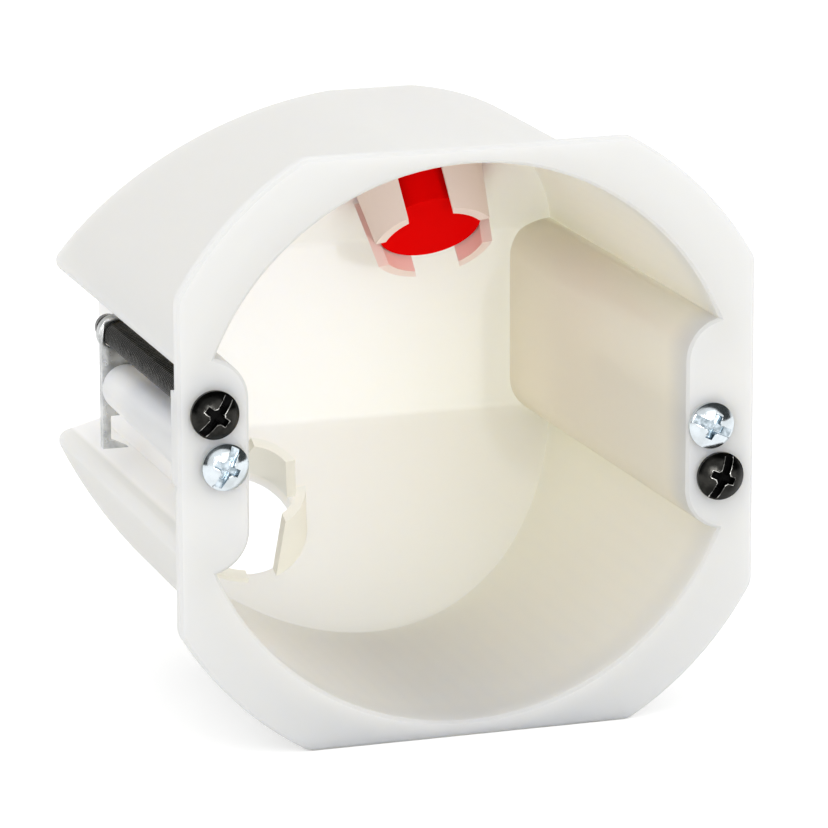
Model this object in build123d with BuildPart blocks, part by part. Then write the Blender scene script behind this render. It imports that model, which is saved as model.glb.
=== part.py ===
from build123d import *
import os
from math import cos, radians, sin, tan

os.makedirs("parts", exist_ok=True)

# Round hollow-wall device box. The origin is the centre of the flange's back face, which seats on the wall.
# X is to the right, Y runs into the wall and Z is up. Lengths are in millimetres, angles in degrees.

# The standard distance between the device screws sets the width of the box
device_screw_spacing = 60.0

# Flange: a round plate cut to a square, so that boxes mount side by side
flange_margin = 5.5
flange_round_reach = 5.2
flange_thick = 1.6
flange_corner = 2.5
flange_edge = 0.35

# Body: a drafted drum with flats above and below, and a roof-shaped back
body_reach = 0.7
body_wall = 2.6
draft = 0.5
box_depth = 60.0
back_wall = 1.8
back_band = 24.4
facet_angle = 45.0
inner_round = 1.2
rim_round = 1.0

# Claw pockets, one at each side, closed in front by a lug of the flange
lug_depth = 8.5
lug_height = 26.0
lug_corner = 5.2
lug_lean = 1.3
pocket_wall = 1.3
pocket_height = 18.0
pocket_flare = 15.0
lobe_round = 1.4

# Device screws, each in a blind boss that stands in its pocket
device_screw_diameter = 3.2
device_screw_length = 25.0
device_head_diameter = 5.6
device_head_height = 1.5
device_recess_turn = {"left": 27.0, "right": 117.0}
boss_root_diameter = 7.0
boss_end_diameter = 5.8
boss_length = 39.4
boss_bevel = 1.0
boss_offset = 0.7
bore_spare = 4.0

# Claw screws, the pad behind the flange that each one passes, and the claws
claw_screw_inset = 4.3
claw_screw_z = 6.3
claw_screw_diameter = 3.5
claw_screw_reach = 45.0
claw_head_diameter = 5.8
claw_head_height = 1.6
claw_recess_turn = {"left": 38.0, "right": 23.0}
pad_thick = 1.5
pad_below = 2.2
pad_above = 8.8
claw_thick = 1.2
claw_gap = 0.4
claw_eye_radius = 2.4
claw_outer = 2.0
claw_plate_drop = 10.1
claw_finger_drop = 14.2
claw_finger_width = 1.0
claw_tooth = 2.2

# Heads and points of the screws
head_edge = 0.5
head_crown = 3.6
screw_point = 0.5
recess_cross = 3.2
recess_width = 0.8
recess_floor = 0.3
slot_floor = 0.55

# Cable entries: a hole in a facet with a collar of four spring tongues, and one blanking plug
upper_entry_x = 10.0
lower_entry_x = -13.5
entry_z = 22.4
entry_diameter = 15.0
tongue_length = 9.6
tongue_thick = 1.2
open_tip_diameter = 10.6
open_gap = 3.8
open_turn = 8.0
plugged_tip_diameter = 13.1
plugged_gap = 5.6
plugged_turn = 17.0
plug_wall = 1.2
plug_lip = 1.4
plug_lip_thick = 1.0
plug_recess = 2.3

# Clearances
running_clearance = 0.05
plug_clearance = 0.1

# Values that follow from the sizes above
flange_square = device_screw_spacing + 2 * flange_margin
flange_diameter = flange_square + 2 * flange_round_reach
body_diameter = flange_square + 2 * body_reach
opening_diameter = body_diameter - 2 * body_wall
opening_radius = opening_diameter / 2
lug_face = flange_square / 2 - lug_depth
device_screw_x = device_screw_spacing / 2
claw_screw_x = flange_square / 2 - claw_screw_inset
front_face = -flange_thick
facet_slope = radians(facet_angle)
band_half = back_band / 2
inner_depth = box_depth - back_wall
inner_band_half = band_half - back_wall * tan(facet_slope / 2)
pocket_floor = lug_face + pocket_wall
pocket_reach = flange_diameter / 2
boss_end = boss_end_diameter / 2
claw_front = boss_length + claw_gap
entry_radius = entry_diameter / 2
sides = {"left": -1, "right": 1}


def side_plane(side, depth):
    """Plane across the box axis with x outwards, so that both sides share one layout turned half round."""
    return Plane(origin=(0, depth, 0), x_dir=(side, 0, 0), z_dir=(0, 1, 0))


def entry_plane(up, inset):
    """Plane on the axis of the upper (1) or lower (-1) entry, z inwards, inset from the facet's outside."""
    outwards = Vector(0, cos(facet_slope), up * sin(facet_slope))
    facet_y = box_depth - (entry_z - band_half) * tan(facet_slope)
    entry_x = upper_entry_x if up > 0 else lower_entry_x
    centre = Vector(entry_x, facet_y, up * entry_z) - outwards * inset
    return Plane(origin=centre, x_dir=(up, 0, 0), z_dir=-outwards)


def roofed_drum(diameter, start, end, ridge_half):
    """Drafted drum along Y whose far end slopes away above and below a flat band."""
    with BuildPart() as drum:
        with BuildSketch(Plane.XY):
            with BuildLine():
                Polyline(
                    (0, start),
                    (diameter / 2 - start * tan(radians(draft)), start),
                    (diameter / 2 - end * tan(radians(draft)), end),
                    (0, end),
                    close=True,
                )
            make_face()
        revolve(axis=Axis.Y)
        for up in (1, -1):
            slope = (0, cos(facet_slope), up * sin(facet_slope))
            split(bisect_by=Plane(origin=(0, end, up * ridge_half), z_dir=slope), keep=Keep.BOTTOM)
    return drum.part


# Inside space: a rounded drum less the two lug blocks, which run the whole depth, their faces leaning inwards
with BuildPart() as cavity:
    add(roofed_drum(opening_diameter, front_face, inner_depth, inner_band_half))
    fillet(cavity.edges().filter_by(Axis.X), inner_round)
    for side in sides.values():
        across = (side * cos(radians(lug_lean)), sin(radians(lug_lean)), 0)
        inwards = (-side * sin(radians(lug_lean)), cos(radians(lug_lean)), 0)
        with BuildSketch(Plane(origin=(side * lug_face, front_face, 0), x_dir=across, z_dir=inwards)):
            with Locations((opening_radius / 2, 0)):
                RectangleRounded(opening_radius, lug_height, lug_corner)
        extrude(amount=flange_thick + box_depth, both=True, mode=Mode.SUBTRACT)


# Spring collar of a cable entry: a cone cut into four tongues by two crossing gaps
def spring_collar(up, tip_diameter, gap, turn):
    tip_radius = tip_diameter / 2
    mouth = entry_plane(up, back_wall)
    with BuildPart() as collar:
        with BuildSketch(Plane(origin=mouth.origin, x_dir=mouth.x_dir, z_dir=-mouth.y_dir)):
            with BuildLine():
                Polyline(
                    (entry_radius, -back_wall / 2),
                    (entry_radius, 0),
                    (tip_radius, tongue_length),
                    (tip_radius + tongue_thick, tongue_length),
                    (entry_radius + tongue_thick, 0),
                    (entry_radius + tongue_thick, -back_wall / 2),
                    close=True,
                )
            make_face()
        revolve(axis=Axis(mouth.origin, mouth.z_dir))
        with BuildSketch(mouth):
            Rectangle(2 * entry_diameter, gap, rotation=turn)
            Rectangle(gap, 2 * entry_diameter, rotation=turn)
        extrude(amount=2 * tongue_length, mode=Mode.SUBTRACT)
    return collar.part


# Box body: flange, drum, pockets, screw bosses and spring tongues in one moulding
with BuildPart() as box_body:
    add(roofed_drum(body_diameter, 0, box_depth, band_half))
    split(bisect_by=Plane.XY.offset(flange_square / 2), keep=Keep.BOTTOM)
    split(bisect_by=Plane.XY.offset(-flange_square / 2), keep=Keep.TOP)

    # Pockets flare outwards and run through the back
    mouth_half = pocket_height / 2 + (pocket_reach - pocket_floor) * tan(radians(pocket_flare))
    for side in sides.values():
        with BuildSketch(side_plane(side, 0)):
            with BuildLine():
                Polyline(
                    (pocket_floor, -pocket_height / 2),
                    (pocket_reach, -mouth_half),
                    (pocket_reach, mouth_half),
                    (pocket_floor, pocket_height / 2),
                    close=True,
                )
            make_face()
        extrude(amount=box_depth, mode=Mode.SUBTRACT)
    lobe_edges = box_body.edges().filter_by(
        lambda edge: abs(edge.center().X) > (pocket_floor + body_diameter / 2) / 2
        and abs(edge.center().Z) < pocket_height
        and abs(edge.tangent_at(0.5).Y) > 0.9
    )
    fillet(lobe_edges, lobe_round)
    fillet(box_body.edges().filter_by(lambda edge: edge.center().Y > box_depth / 2), rim_round)

    # Flange plate, and the pad behind it that carries each claw screw
    with BuildSketch(Plane.XZ) as flange_outline:
        Circle(flange_diameter / 2)
        Rectangle(flange_square, flange_square, mode=Mode.INTERSECT)
        fillet(flange_outline.vertices(), flange_corner)
    extrude(amount=flange_thick)
    for side in sides.values():
        with BuildSketch(side_plane(side, 0)):
            with Locations((pocket_floor, -pad_below)):
                Rectangle(flange_square / 2 - pocket_floor, pad_above + pad_below, align=Align.MIN)
        extrude(amount=pad_thick)

    add(cavity.part, mode=Mode.SUBTRACT)

    # Bosses with a bevelled end, on the pocket floor
    for side in sides.values():
        boss_axis = Axis((side * (device_screw_x + boss_offset), 0, 0), (0, 1, 0))
        with BuildSketch(Plane(origin=boss_axis.position, x_dir=(side, 0, 0), z_dir=(0, 0, side))):
            with BuildLine():
                Polyline(
                    (0, 0),
                    (boss_root_diameter / 2, 0),
                    (boss_end, boss_length - boss_bevel),
                    (boss_end - boss_bevel, boss_length),
                    (0, boss_length),
                    close=True,
                )
            make_face()
        revolve(axis=boss_axis)

    # Screw bores
    for side in sides.values():
        with BuildSketch(side_plane(side, front_face)):
            with Locations((device_screw_x, 0)):
                Circle(device_screw_diameter / 2 + running_clearance)
        extrude(amount=flange_thick + device_screw_length + bore_spare, mode=Mode.SUBTRACT)
        with BuildSketch(side_plane(side, front_face)):
            with Locations((claw_screw_x, claw_screw_z)):
                Circle(claw_screw_diameter / 2 + running_clearance)
        extrude(amount=flange_thick + pad_thick, mode=Mode.SUBTRACT)

    # Cable entries: the plug holds the upper tongues apart, and the lower ones stand at rest
    for up, tip_diameter, gap, turn in (
        (1, plugged_tip_diameter, plugged_gap, plugged_turn),
        (-1, open_tip_diameter, open_gap, open_turn),
    ):
        with BuildSketch(entry_plane(up, 0)):
            Circle(entry_radius)
        extrude(amount=back_wall, mode=Mode.SUBTRACT)
        add(spring_collar(up, tip_diameter, gap, turn))

    # Softened front edges, apart from the screw holes
    rim_edges = box_body.edges().filter_by_position(Axis.Y, front_face, front_face).filter_by(
        lambda edge: edge.geom_type != GeomType.CIRCLE or edge.radius > claw_head_diameter / 2
    )
    chamfer(rim_edges, flange_edge)
box_body.part.label = "box_body"
export_step(box_body.part, "parts/box_body.step")


# Blanking plug: a cup pushed in from outside, its lip on the facet and its end at the tongue tips
plug_radius = plugged_tip_diameter / 2 - plug_clearance
plug_end = back_wall + tongue_length - plug_recess
plug_seat = entry_plane(1, 0)
with BuildPart() as entry_plug:
    with BuildSketch(Plane(origin=plug_seat.origin, x_dir=plug_seat.x_dir, z_dir=-plug_seat.y_dir)):
        with BuildLine():
            Polyline(
                (plug_radius - plug_wall, -plug_lip_thick),
                (entry_radius + plug_lip, -plug_lip_thick),
                (entry_radius + plug_lip, 0),
                (plug_radius, 0),
                (plug_radius, plug_end),
                (0, plug_end),
                (0, plug_end - plug_wall),
                (plug_radius - plug_wall, plug_end - plug_wall),
                close=True,
            )
        make_face()
    revolve(axis=Axis(plug_seat.origin, plug_seat.z_dir))
entry_plug.part.label = "entry_plug"
export_step(entry_plug.part, "parts/entry_plug.step")


# Screw along Y with a pan head on the flange, its cross recess and slot no deeper than the head
def pan_screw(name, x, z, shank_diameter, tip, head_diameter, head_height, turn):
    shank = shank_diameter / 2
    head = head_diameter / 2
    top = front_face - head_height
    with BuildPart() as screw:
        with BuildSketch(Plane(origin=(x, 0, z), x_dir=(1, 0, 0), z_dir=(0, 0, 1))):
            with BuildLine():
                Polyline(
                    (0, top),
                    (0, tip),
                    (shank - screw_point, tip),
                    (shank, tip - screw_point),
                    (shank, front_face),
                    (head, front_face),
                    (head, front_face - head_edge),
                    (head_crown / 2, top),
                    close=True,
                )
            make_face()
        revolve(axis=Axis((x, 0, z), (0, 1, 0)))
        face = Plane(origin=(x, top, z), x_dir=(1, 0, 0), z_dir=(0, 1, 0))
        with BuildSketch(face):
            Rectangle(recess_cross, recess_width, rotation=turn)
            Rectangle(recess_width, recess_cross, rotation=turn)
        extrude(amount=head_height - recess_floor, mode=Mode.SUBTRACT)
        with BuildSketch(face):
            Rectangle(recess_width, head_diameter, rotation=turn)
        extrude(amount=head_height - slot_floor, mode=Mode.SUBTRACT)
    screw.part.label = name
    export_step(screw.part, f"parts/{name}.step")


# Claw: a stamped plate that hangs from its screw behind the boss, with a toothed finger along its outer edge
def claw(name, side):
    eye_centre = (side * claw_screw_x, claw_front, -side * claw_screw_z)
    eye = Plane(origin=eye_centre, x_dir=(side, 0, 0), z_dir=(0, 1, 0))
    finger_inside = claw_outer - claw_finger_width
    with BuildPart() as plate:
        with BuildSketch(eye):
            Circle(claw_eye_radius)
            with BuildLine():
                Polyline(
                    (-claw_eye_radius, 0),
                    (-claw_eye_radius, -claw_plate_drop),
                    (finger_inside, -claw_plate_drop),
                    (finger_inside, claw_tooth / 2 - claw_finger_drop),
                    (finger_inside - claw_tooth, -claw_finger_drop),
                    (claw_outer, -claw_finger_drop),
                    (claw_outer, 0),
                    close=True,
                )
            make_face()
            Circle(claw_screw_diameter / 2 + running_clearance, mode=Mode.SUBTRACT)
        extrude(amount=claw_thick)
    plate.part.label = name
    export_step(plate.part, f"parts/{name}.step")


for side_name, side in sides.items():
    pan_screw(
        f"device_screw_{side_name}",
        side * device_screw_x,
        0,
        device_screw_diameter,
        device_screw_length,
        device_head_diameter,
        device_head_height,
        device_recess_turn[side_name],
    )
    pan_screw(
        f"claw_screw_{side_name}",
        side * claw_screw_x,
        -side * claw_screw_z,
        claw_screw_diameter,
        claw_screw_reach,
        claw_head_diameter,
        claw_head_height,
        claw_recess_turn[side_name],
    )
    claw(f"claw_{side_name}", side)
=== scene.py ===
import math
import bmesh
import bpy
from mathutils import Matrix, Vector


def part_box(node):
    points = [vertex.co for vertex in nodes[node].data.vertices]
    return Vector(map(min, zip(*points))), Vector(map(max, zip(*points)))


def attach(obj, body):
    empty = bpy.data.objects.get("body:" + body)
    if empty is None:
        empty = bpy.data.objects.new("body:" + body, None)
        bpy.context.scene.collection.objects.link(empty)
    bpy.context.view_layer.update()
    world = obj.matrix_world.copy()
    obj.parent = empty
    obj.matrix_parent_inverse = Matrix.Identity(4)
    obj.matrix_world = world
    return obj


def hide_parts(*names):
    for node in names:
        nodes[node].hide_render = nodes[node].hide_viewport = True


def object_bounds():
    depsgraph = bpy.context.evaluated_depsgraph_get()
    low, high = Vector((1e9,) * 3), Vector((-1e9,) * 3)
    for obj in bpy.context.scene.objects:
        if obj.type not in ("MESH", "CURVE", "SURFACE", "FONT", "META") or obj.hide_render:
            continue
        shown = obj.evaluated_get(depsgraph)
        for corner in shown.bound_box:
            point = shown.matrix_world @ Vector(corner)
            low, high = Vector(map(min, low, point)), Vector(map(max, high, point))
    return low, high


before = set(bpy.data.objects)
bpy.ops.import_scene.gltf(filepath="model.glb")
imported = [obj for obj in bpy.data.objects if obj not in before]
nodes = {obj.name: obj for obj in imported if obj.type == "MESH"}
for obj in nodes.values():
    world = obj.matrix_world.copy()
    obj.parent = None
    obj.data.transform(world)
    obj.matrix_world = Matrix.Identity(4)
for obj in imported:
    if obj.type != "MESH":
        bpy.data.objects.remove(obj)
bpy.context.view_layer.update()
mm = 0.001
bpy.context.scene.view_settings.view_transform = "Standard"
print("frame:", len(nodes), "nodes")


# shader sums: operators on wrapped sockets add Math nodes
class Wire:
    def __init__(self, tree, socket=None):
        self.tree = tree
        self.socket = socket

    def node(self, kind, settings=None, values=None, output=0):
        made = self.tree.nodes.new(kind)
        for key, value in (settings or {}).items():
            setattr(made, key, value)
        for key, value in (values or {}).items():
            if isinstance(value, Wire):
                self.tree.links.new(value.socket, made.inputs[key])
            else:
                made.inputs[key].default_value = value
        return Wire(self.tree, made.outputs[output])

    def math(self, operation, first, second=0.0):
        return self.node("ShaderNodeMath", {"operation": operation}, {0: first, 1: second})

    def fade(self, start, end):  # 0 at start, 1 at end, eased between
        return self.node("ShaderNodeMapRange", {"interpolation_type": "SMOOTHSTEP"},
                         {"Value": self, "From Min": start, "From Max": end})

    def mix(self, below, above):  # colour below where the value is 0, above where it is 1
        return self.node("ShaderNodeMix", {"data_type": "RGBA"}, {0: self, 6: below, 7: above}, 2)

    def __add__(self, other):
        return self.math("ADD", self, other)

    def __sub__(self, other):
        return self.math("SUBTRACT", self, other)

    def __rsub__(self, other):
        return self.math("SUBTRACT", other, self)

    def __mul__(self, other):
        return self.math("MULTIPLY", self, other)

    def __pow__(self, other):
        return self.math("POWER", self, other)

    __radd__ = __add__
    __rmul__ = __mul__


def newMaterial(name, fixed):
    material = bpy.data.materials.new(name)
    material.use_nodes = True
    shader = material.node_tree.nodes["Principled BSDF"]
    for key, value in fixed.items():
        shader.inputs[key].default_value = value
    return material, shader, Wire(material.node_tree)


def feed(shader, key, wire):
    wire.tree.links.new(wire.socket, shader.inputs[key])


def objectSpot(wire):  # place on the piece, in metres
    return wire.node("ShaderNodeTexCoord", output="Object")


def axesOf(spot):
    return [spot.node("ShaderNodeSeparateXYZ", None, {0: spot}, axis) for axis in range(3)]


grainDetail = 3.0


def grain(spot, scale):
    return spot.node("ShaderNodeTexNoise", None, {"Vector": spot, "Scale": scale, "Detail": grainDetail})


def feedRoughness(shader, spot, look):
    feed(shader, "Roughness", look["rough"] + grain(spot, look["fine"]) * look["vary"])


# cable entries: where each axis meets the outside of its facet, which slopes at 45 degrees
entries = {
    "plugged": (10.0 * mm, 49.8 * mm, 22.4 * mm),
    "open": (-13.5 * mm, 49.8 * mm, -22.4 * mm),
}
slant = math.sqrt(0.5)

# white moulding: neutral outside; within, painted light (brighter and cream) with painted shade towards the
# right; a painted pink glow of red light round the red plug
shellLook = {
    "outside": (0.72, 0.723, 0.708, 1),
    "withinLitLeft": (0.99, 0.972, 0.925, 1),
    "withinShadedRight": (0.985, 0.925, 0.77, 1),
    "shadeLean": 0.5,
    "shadeSpan": (-25 * mm, 35 * mm),  # from the lit left colour to the painted shade of the right one
    "cavityRim": (33.1 * mm, 33.9 * mm),
    "cavityMouth": (-1.4 * mm, 6 * mm),
    "redBounce": (1.0, 0.74, 0.7, 1),
    "redBounceShare": 0.6,
    "redBounceReach": (6.6 * mm, 10.5 * mm),  # from the plug's axis
    "redBounceDepth": (-13 * mm, -9 * mm),
    "rough": 0.42,
    "vary": 0.08,
    "fine": 900,
    "ior": 1.5,
    "subsurface": {"whiteMoulding": 1.0, "lugMoulding": 0.3},  # less where metal lies behind the wall
    "spread": (1.0, 0.92, 0.76),
    "spreadScale": 8 * mm,
}


def shellMaterial(name):
    look = shellLook
    material, shader, wire = newMaterial(name, {
        "Subsurface Weight": look["subsurface"][name],
        "Subsurface Radius": look["spread"],
        "Subsurface Scale": look["spreadScale"],
        "IOR": look["ior"],
    })
    spot = objectSpot(wire)
    x, y, z = axesOf(spot)
    radius = (x ** 2.0 + z ** 2.0) ** 0.5
    innerLightMask = (1 - radius.fade(*look["cavityRim"])) * y.fade(*look["cavityMouth"])
    # along the plug's axis and away from it
    plugX, plugY, plugZ = entries["plugged"]
    along = (z - plugZ) * slant + (y - plugY) * slant
    across = (z - plugZ) * slant - (y - plugY) * slant
    apart = ((x - plugX) ** 2.0 + across ** 2.0) ** 0.5
    # painted light: red light from the plug, bounced onto the wall round it, as a pink tint
    redBounce = (1 - apart.fade(*look["redBounceReach"])) * along.fade(*look["redBounceDepth"]) * innerLightMask
    rightShade = (x - z * look["shadeLean"]).fade(*look["shadeSpan"])
    # painted light and shade: the cavity brighter and warmer than the outside, for light bounced within and
    # let through the walls, and darker tan towards the right, for shade
    base = innerLightMask.mix(look["outside"], rightShade.mix(look["withinLitLeft"], look["withinShadedRight"]))
    feed(shader, "Base Color", (redBounce * look["redBounceShare"]).mix(base, look["redBounce"]))
    feedRoughness(shader, spot, look)
    return material


# thin spring tongues, with painted red light from the plug: pink on those at the upper entry
tongueLook = {
    "open": (0.92, 0.915, 0.85, 1),
    "plugged": (0.995, 0.83, 0.77, 1),
    "change": (-5 * mm, 5 * mm),
    "rough": 0.45,
    "vary": 0.08,
    "fine": 900,
    "ior": 1.5,
}


def tongueMaterial():
    look = tongueLook
    material, shader, wire = newMaterial("thinMoulding", {"IOR": look["ior"]})
    spot = objectSpot(wire)
    z = axesOf(spot)[2]
    # painted light: the tongues by the plug pinker, for red light from the plug shining through them
    feed(shader, "Base Color", z.fade(*look["change"]).mix(look["open"], look["plugged"]))
    feedRoughness(shader, spot, look)
    return material


# blanking plug
plugLook = {
    "colour": (0.93, 0.001, 0.001, 1),
    "deep": (0.88, 0.001, 0.001, 1),
    "patch": 300,
    "rough": 0.6,
    "vary": 0.1,
    "fine": 1200,
    "ior": 1.48,
    "specular": 0.01,
}


def plugMaterial():
    look = plugLook
    material, shader, wire = newMaterial("redMoulding", {
        "IOR": look["ior"],
        "Specular IOR Level": look["specular"],
    })
    spot = objectSpot(wire)
    feed(shader, "Base Color", grain(spot, look["patch"]).mix(look["deep"], look["colour"]))
    feedRoughness(shader, spot, look)
    return material


# plated metals, dark and pale in patches
metalLook = {
    "brightZinc": {
        "dark": (0.6, 0.65, 0.68, 1), "pale": (0.72, 0.78, 0.82, 1), "patch": 500,
        "rough": 0.1, "vary": 0.08, "fine": 2600,
    },
    "dullZinc": {
        "dark": (0.4, 0.41, 0.41, 1), "pale": (0.6, 0.61, 0.61, 1), "patch": 500,
        "rough": 0.22, "vary": 0.14, "fine": 2600,
    },
    "blackFinish": {
        "dark": (0.014, 0.014, 0.013, 1), "pale": (0.035, 0.034, 0.031, 1), "patch": 700,
        "rough": 0.12, "vary": 0.16, "fine": 2600,
    },
    # painted shade: the black recess darker than the head it is cut in
    "blackRecessShade": {
        "dark": (0.002, 0.002, 0.002, 1), "pale": (0.006, 0.006, 0.006, 1), "patch": 700,
        "rough": 0.5, "vary": 0.1, "fine": 2600,
    },
    # painted shade: the zinc recess darker and bluer than the head it is cut in
    "zincRecessShade": {
        "dark": (0.3, 0.36, 0.4, 1), "pale": (0.66, 0.74, 0.8, 1), "patch": 1300,
        "rough": 0.16, "vary": 0.1, "fine": 2600,
    },
    "wornEdge": {
        "dark": (0.12, 0.118, 0.11, 1), "pale": (0.85, 0.84, 0.8, 1), "patch": 900,
        "rough": 0.3, "vary": 0.15, "fine": 2600,
    },
}
patchEdge = (0.35, 0.65)  # noise values at which a patch is dark and pale


def metalMaterial(name):
    look = metalLook[name]
    material, shader, wire = newMaterial(name, {"Metallic": 1.0})
    spot = objectSpot(wire)
    patches = grain(spot, look["patch"]).fade(*patchEdge)
    feed(shader, "Base Color", patches.mix(look["dark"], look["pale"]))
    feedRoughness(shader, spot, look)
    return material


shellFinishes = [shellMaterial("whiteMoulding"), tongueMaterial(), shellMaterial("lugMoulding")]
finishes = {name: metalMaterial(name) for name in metalLook}
nodes["entry_plug"].data.materials.clear()
nodes["entry_plug"].data.materials.append(plugMaterial())
print("materials:", 1 + len(shellFinishes) + len(finishes))


def meshObject(bm, name, materials=()):
    mesh = bpy.data.meshes.new(name)
    bm.to_mesh(mesh)
    bm.free()
    for material in materials:
        mesh.materials.append(material)
    made = bpy.data.objects.new(name, mesh)
    bpy.context.collection.objects.link(made)
    return made


def keepPiece(bm, name, materials, body, node):
    piece = meshObject(bm, name, materials)
    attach(piece, body)
    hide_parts(node)
    return piece


cadWeld = 0.001 * mm
latheWeld = 0.0001 * mm


def nodeCopy(node):  # a CAD node's loose triangles, merged
    bm = bmesh.new()
    bm.from_mesh(nodes[node].data)
    bmesh.ops.remove_doubles(bm, verts=bm.verts, dist=cadWeld)
    return bm


def smoothFaces(bm, limit):  # smooth shading, with edges past the limit left sharp
    for face in bm.faces:
        face.smooth = True
    for edge in bm.edges:
        if len(edge.link_faces) == 2 and edge.calc_face_angle(0) > math.radians(limit):
            edge.smooth = False


# box shell: the moulding, with its tongues picked out and the open entry's lower left one broken off
shellShape = {
    "wall": 1.8 * mm,
    "collarFoot": 0.02 * mm,
    "collarReach": 9.2 * mm,
    "tongueLength": 9.7 * mm,
    "stump": 0.7 * mm,
    "lugFace": (24.5 * mm, 33.5 * mm),
    "lugHalf": 13.3 * mm,
    "lugFacing": 0.2,
    "sharp": 35,
}


def facetWay(entry):  # out of the facet that the entry is in
    return Vector((0, 1, math.copysign(1, entry[2]))).normalized()


def collarFaces(bm, entry):
    shape = shellShape
    outward = facetWay(entry)
    found = []
    for face in bm.faces:
        offset = face.calc_center_median() - Vector(entry)
        inward = -offset.dot(outward) - shape["wall"]
        apart = (offset - outward * offset.dot(outward)).length
        if shape["collarFoot"] < inward < shape["tongueLength"] and apart < shape["collarReach"]:
            found.append(face)
    return found


def isLugFace(face):  # on the inner side of a lug, behind which the screws lie
    shape = shellShape
    spot = face.calc_center_median()
    low, high = shape["lugFace"]
    inwards = face.normal.x * math.copysign(1, spot.x) < -shape["lugFacing"]
    return inwards and low < abs(spot.x) < high and abs(spot.z) < shape["lugHalf"]


def breakTongue(bm, faces):
    shape = shellShape
    outward = facetWay(entries["open"])
    stumpEnd = Vector(entries["open"]) - outward * (shape["wall"] + shape["stump"])
    around = dict.fromkeys(part for face in faces for part in (*face.edges, *face.verts))
    bmesh.ops.bisect_plane(bm, geom=faces + list(around), plane_co=stumpEnd, plane_no=-outward,
                           clear_outer=True)
    bmesh.ops.holes_fill(bm, edges=[edge for edge in bm.edges if edge.is_boundary])


def boxShell():
    bm = nodeCopy("box_body")
    tongues = {name: collarFaces(bm, entry) for name, entry in entries.items()}
    for face in tongues["plugged"] + tongues["open"]:
        face.material_index = 1
    for face in bm.faces:
        if isLugFace(face):
            face.material_index = 2
    broken = []
    for face in tongues["open"]:
        offset = face.calc_center_median() - Vector(entries["open"])
        if offset.x < 0 and offset.y + offset.z < 0:
            broken.append(face)
    print("shell:", len(broken), "faces of the broken tongue")
    breakTongue(bm, broken)
    smoothFaces(bm, shellShape["sharp"])
    piece = keepPiece(bm, "boxShell", shellFinishes, "box", "box_body")
    piece.modifiers.new("evenShading", "WEIGHTED_NORMAL").keep_sharp = True


boxShell()


def lathe(bm, outline, steps):  # a closed turned piece from its (radius, height) outline
    corners = [bm.verts.new((r, 0, h)) for r, h in outline]
    edges = [bm.edges.new(pair) for pair in zip(corners, corners[1:])]
    bmesh.ops.spin(bm, geom=corners + edges, cent=(0, 0, 0), axis=(0, 0, 1), angle=math.tau,
                   steps=steps, use_merge=True)
    bmesh.ops.remove_doubles(bm, verts=bm.verts, dist=latheWeld)
    bmesh.ops.recalc_face_normals(bm, faces=bm.faces)


# screw heads, with z out of the flange: a dome with a cross, a slot and a hollow middle cut in
headShape = {
    "edge": 0.45 * mm,
    "steps": 64,
    "domeSteps": 8,
    "cross": {"length": 3.3 * mm, "width": 1.0 * mm, "floor": 0.35 * mm, "taper": (0.7, 0.85)},
    "slot": {"length": 8.7 * mm, "width": 1.0 * mm, "floor": 0.62 * mm, "taper": (1, 1)},
    "middle": {"radius": 0.95 * mm, "foot": 0.4275 * mm, "floor": 0.3 * mm, "steps": 24},
    "spare": 0.5 * mm,
    "recessLow": 0.175 * mm,
    "recessUnder": 0.06 * mm,
    "recessReach": 0.97,
    "merge": 0.01 * mm,
    "wornWidth": 0.08 * mm,
    "wornReach": 0.93,
    "sharp": 40,
}


def recessBar(bar, top, turn):  # narrower at its floor
    bm = bmesh.new()
    bmesh.ops.create_cube(bm, size=1)
    bmesh.ops.scale(bm, verts=bm.verts, vec=(bar["width"], bar["length"], top - bar["floor"]))
    foot = [corner for corner in bm.verts if corner.co.z < 0]
    bmesh.ops.scale(bm, verts=foot, vec=(*bar["taper"], 1))
    bmesh.ops.translate(bm, verts=bm.verts, vec=(0, 0, (top + bar["floor"]) / 2))
    spin = Matrix.Rotation(math.radians(-turn), 3, "Z")
    bmesh.ops.rotate(bm, verts=bm.verts, cent=(0, 0, 0), matrix=spin)
    return bm


def recessCone(cone, top):
    bm = bmesh.new()
    bmesh.ops.create_cone(bm, cap_ends=True, segments=cone["steps"], radius1=cone["foot"],
                          radius2=cone["radius"], depth=top - cone["floor"])
    bmesh.ops.translate(bm, verts=bm.verts, vec=(0, 0, (top + cone["floor"]) / 2))
    return bm


def cutRecess(blank, cutters):  # Boolean cuts, one after the other
    head = meshObject(blank, "headBlank")
    for cutter in cutters:
        tool = meshObject(cutter, "recessTool")
        cut = head.modifiers.new("recess", "BOOLEAN")
        cut.operation, cut.solver, cut.object = "DIFFERENCE", "EXACT", tool
        graph = bpy.context.evaluated_depsgraph_get()
        ready = bpy.data.meshes.new_from_object(head.evaluated_get(graph))
        head.modifiers.clear()
        head.data = ready
        bpy.data.objects.remove(tool)
    bm = bmesh.new()
    bm.from_mesh(head.data)
    bpy.data.objects.remove(head)
    return bm


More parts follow.
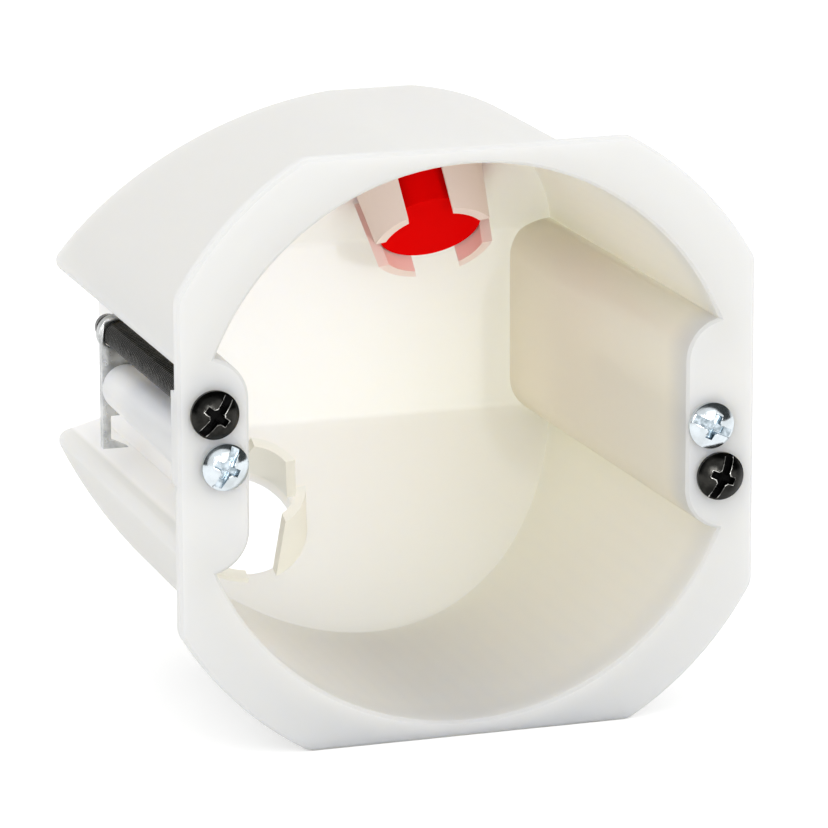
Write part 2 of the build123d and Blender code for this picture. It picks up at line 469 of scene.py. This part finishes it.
def domedHead(radius, height, turn):
    shape = headShape
    rise = height - shape["edge"]
    sphere = (rise ** 2 + radius ** 2) / (2 * rise)
    sweep = math.asin(radius / sphere)

    def domeAt(spot):
        return height - sphere + math.sqrt(sphere ** 2 - spot.x ** 2 - spot.y ** 2)

    outline = [(0, 0), (radius, 0)]
    for step in range(shape["domeSteps"] + 1):
        angle = sweep * (1 - step / shape["domeSteps"])
        outline.append((sphere * math.sin(angle), height - sphere * (1 - math.cos(angle))))
    blank = bmesh.new()
    lathe(blank, outline, shape["steps"])
    above = height + shape["spare"]
    bm = cutRecess(blank, [
        recessBar(shape["cross"], above, turn),
        recessBar(shape["cross"], above, turn + 90),
        recessBar(shape["slot"], above, turn),
        recessCone(shape["middle"], height),
    ])
    # the recess is the third material, darker for painted shade: its faces lie under the dome
    for face in bm.faces:
        spot = face.calc_center_median()
        under = shape["recessLow"] < spot.z < domeAt(spot) - shape["recessUnder"]
        if under and spot.xy.length < radius * shape["recessReach"]:
            face.material_index = 2
    # worn edges round the recess, where it meets the dome, as the second material
    bmesh.ops.dissolve_degenerate(bm, dist=shape["merge"], edges=bm.edges)
    rims = [edge for edge in bm.edges if {face.material_index for face in edge.link_faces} == {0, 2}
            and min(corner.co.xy.length for corner in edge.verts) < radius * shape["wornReach"]]
    worn = bmesh.ops.bevel(bm, geom=rims, affect="EDGES", offset=shape["wornWidth"], offset_type="OFFSET",
                           segments=2, profile=0.5, material=-1, clamp_overlap=False)
    for face in worn["faces"]:
        face.material_index = 1
    for corner in bm.verts:  # corners of the bevel stay under the dome
        corner.co.z = min(corner.co.z, domeAt(corner.co))
    return bm


# shanks: a turned stem, and the thread's ridge wound round it
threadShape = {
    "pitch": 0.6 * mm,
    "depth": 0.16 * mm,
    "shy": 0.02 * mm,  # of the CAD shank
    "sunk": 0.02 * mm,  # ridge into the stem
    "ridge": (0.03, 0.4, 0.6, 0.97),  # foot, crest, crest and foot, in pitches
    "steps": 20,
    "stemSteps": 32,
    "point": 0.5 * mm,
    "pointBevel": 0.25 * mm,
    "intoHead": 0.15 * mm,
}


def threadedShank(bm, radius, length):
    shape = threadShape
    crest, core = radius - shape["shy"], radius - shape["depth"]
    lathe(bm, [
        (0, shape["intoHead"]),
        (core, shape["intoHead"]),
        (core, shape["point"] - length),
        (core - shape["pointBevel"], -length),
        (0, -length),
    ], shape["stemSteps"])
    turns = int((length - shape["point"]) / shape["pitch"]) - 1
    foot = core - shape["sunk"]
    corners = [bm.verts.new((r, 0, -along * shape["pitch"]))
               for r, along in zip((foot, crest, crest, foot), shape["ridge"])]
    profile = bm.faces.new(corners)
    bmesh.ops.spin(bm, geom=[profile, *profile.edges, *corners], cent=(0, 0, 0), axis=(0, 0, 1),
                   angle=math.tau * turns, dvec=(0, 0, -shape["pitch"] / shape["steps"]),
                   steps=turns * shape["steps"])
    bmesh.ops.recalc_face_normals(bm, faces=bm.faces)


# screws: finishes are those of the head and shank, the rim of the recess and the recess, whose finish is
# darker for painted shade
screwKinds = {
    "claw_screw": {
        "head": 1.6 * mm,
        "shank": 3.5 * mm,
        "turn": {"left": 38, "right": 23},
        "finish": ("blackFinish", "wornEdge", "blackRecessShade"),
    },
    "device_screw": {
        "head": 1.5 * mm,
        "shank": 3.2 * mm,
        "turn": {"left": 27, "right": 117},
        "finish": ("brightZinc", "brightZinc", "zincRecessShade"),
    },
}
intoWall = Matrix.Rotation(math.radians(90), 3, "X")
for kind, screw in screwKinds.items():
    for side, turn in screw["turn"].items():
        node = f"{kind}_{side}"
        low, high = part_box(node)
        middle = (low + high) / 2
        seat = low.y + screw["head"]
        bm = domedHead((high.x - low.x) / 2, screw["head"], turn)
        threadedShank(bm, screw["shank"] / 2, high.y - seat)
        smoothFaces(bm, headShape["sharp"])
        bmesh.ops.rotate(bm, verts=bm.verts, cent=(0, 0, 0), matrix=intoWall)
        bmesh.ops.translate(bm, verts=bm.verts, vec=(middle.x, seat, middle.z))
        materials = [finishes[name] for name in screw["finish"]]
        keepPiece(bm, node + "Visual", materials, f"{side}_{kind}", node)
        print("screw:", node)


# claws: stamped plates with softened edges
clawShape = {"soften": 0.14 * mm, "flat": 1, "rim": 40, "sharp": 35}
for side in ("left", "right"):
    bm = nodeCopy("claw_" + side)
    flat = math.radians(clawShape["flat"])
    bmesh.ops.dissolve_limit(bm, angle_limit=flat, verts=bm.verts, edges=bm.edges)
    rims = [edge for edge in bm.edges if edge.calc_face_angle(0) > math.radians(clawShape["rim"])]
    bmesh.ops.bevel(bm, geom=rims, affect="EDGES", offset=clawShape["soften"], offset_type="OFFSET",
                    segments=2, profile=0.5, material=-1, clamp_overlap=True)
    smoothFaces(bm, clawShape["sharp"])
    keepPiece(bm, "claw" + side.capitalize(), [finishes["dullZinc"]], side + "_claw", "claw_" + side)
    print("claw:", side)


# pale floor, soft lamps and a white surround
stageSet = {
    "floor": {"size": 6.0, "colour": (0.82, 0.82, 0.82, 1), "glow": 0.4},
    "matt": 0.9,
    "white": (1, 1, 1, 1),
    "surround": 1.02,
    "darkArch": {
        "radius": 1.2,
        "fromFront": (50, 84),
        "sweep": 205,
        "steps": 40,
        "colour": (0.03, 0.035, 0.035, 1),
    },
    "brightCard": {"at": (-0.25, -1.15, 0.28), "size": 0.5, "strength": 10},
    "keyLamp": {"at": (0.35, -1.3, 0.6), "size": 0.8, "power": 1.5},
    "snootLamp": {"at": (0.13, -1.3, 0.14), "size": 0.016, "power": 24, "cone": 3.3, "blend": 1.0},
}
low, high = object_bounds()
centre = (low + high) / 2


def flatCard(size):
    bm = bmesh.new()
    bmesh.ops.create_grid(bm, x_segments=1, y_segments=1, size=size / 2)
    return bm


def seenRays(wire):  # 1 for what the camera sees, also in reflections, and 0 for light on the object
    kinds = ("Is Camera Ray", "Is Glossy Ray", "Is Transmission Ray")
    camera, glossy, through = [wire.node("ShaderNodeLightPath", output=kind) for kind in kinds]
    return wire.math("MINIMUM", camera + glossy + through, 1.0)


def floorMaterial():
    look = stageSet["floor"]
    fixed = {"Base Color": look["colour"], "Roughness": stageSet["matt"], "Specular IOR Level": 0.0}
    material, shader, wire = newMaterial("paleFloor", fixed)
    strength = seenRays(wire) * look["glow"]
    glow = wire.node("ShaderNodeEmission", None, {"Color": stageSet["white"], "Strength": strength})
    both = wire.node("ShaderNodeAddShader", None, {0: Wire(wire.tree, shader.outputs[0]), 1: glow})
    feed(wire.tree.nodes["Material Output"], "Surface", both)
    return material


def reflectedCard(bm, name, fixed):  # a card that only reflections show
    card = meshObject(bm, name, [newMaterial(name, fixed)[0]])
    card.visible_camera = card.visible_diffuse = card.visible_shadow = False


def addLamp(name, kind, aim):
    lamp = stageSet[name]
    data = bpy.data.lights.new(name, kind)
    data.energy = lamp["power"]
    made = bpy.data.objects.new(name, data)
    made.location = lamp["at"]
    made.rotation_euler = (aim - Vector(lamp["at"])).to_track_quat("-Z", "Y").to_euler()
    bpy.context.collection.objects.link(made)
    return data


bm = flatCard(stageSet["floor"]["size"])
bmesh.ops.translate(bm, verts=bm.verts, vec=(centre.x, centre.y, low.z))
meshObject(bm, "floor", [floorMaterial()])

# a dark arch out of view, which the bright screw heads reflect
arch = stageSet["darkArch"]
bm = bmesh.new()
ends = []
for angle in map(math.radians, arch["fromFront"]):
    ends.append(bm.verts.new((arch["radius"] * math.sin(angle), -arch["radius"] * math.cos(angle), 0)))
band = bm.edges.new(ends)
bmesh.ops.spin(bm, geom=ends + [band], cent=(0, 0, 0), axis=(0, -1, 0),
               angle=math.radians(arch["sweep"]), steps=arch["steps"])
bmesh.ops.translate(bm, verts=bm.verts, vec=centre)
reflectedCard(bm, "darkArch", {"Base Color": arch["colour"], "Roughness": stageSet["matt"]})

# a bright card beside the camera, for the highlights on the heads alone
card = stageSet["brightCard"]
bm = flatCard(card["size"])
facing = (centre - Vector(card["at"])).to_track_quat("Z", "Y").to_matrix()
bmesh.ops.rotate(bm, verts=bm.verts, cent=(0, 0, 0), matrix=facing)
bmesh.ops.translate(bm, verts=bm.verts, vec=card["at"])
reflectedCard(bm, "brightCard", {"Emission Color": stageSet["white"], "Emission Strength": card["strength"]})

world = bpy.data.worlds.new("surround")
bpy.context.scene.world = world
world.use_nodes = True
sky = world.node_tree.nodes["Background"]
sky.inputs["Color"].default_value = stageSet["white"]
seen = seenRays(Wire(world.node_tree))
feed(sky, "Strength", stageSet["surround"] + seen * (1 - stageSet["surround"]))

# a broad key lamp, and a snooted one that shines into the box alone
keyLight = addLamp("keyLamp", "AREA", centre)
keyLight.size = stageSet["keyLamp"]["size"]
snoot = stageSet["snootLamp"]
snootLight = addLamp("snootLamp", "SPOT", Vector((0, 0, 0)))
snootLight.shadow_soft_size = snoot["size"]
snootLight.spot_size = math.radians(snoot["cone"])
snootLight.spot_blend = snoot["blend"]
print("stage: floor, arch, card and two lamps")

cameraView = {
    "place": (-0.2191, -0.6442, 0.1773),
    "right": (0.9494, -0.3141, -0.0025),
    "up": (0.08, 0.2343, 0.9689),
    "back": (-0.3037, -0.92, 0.2476),
    "lens": 260.87,
    "sensor": 36,
}
data = bpy.data.cameras.new("photoView")
data.lens = cameraView["lens"]
data.sensor_width = cameraView["sensor"]
camera = bpy.data.objects.new("photoView", data)
cameraTurn = Matrix((cameraView["right"], cameraView["up"], cameraView["back"])).transposed().to_4x4()
camera.matrix_world = Matrix.Translation(cameraView["place"]) @ cameraTurn
bpy.context.collection.objects.link(camera)
bpy.context.scene.camera = camera
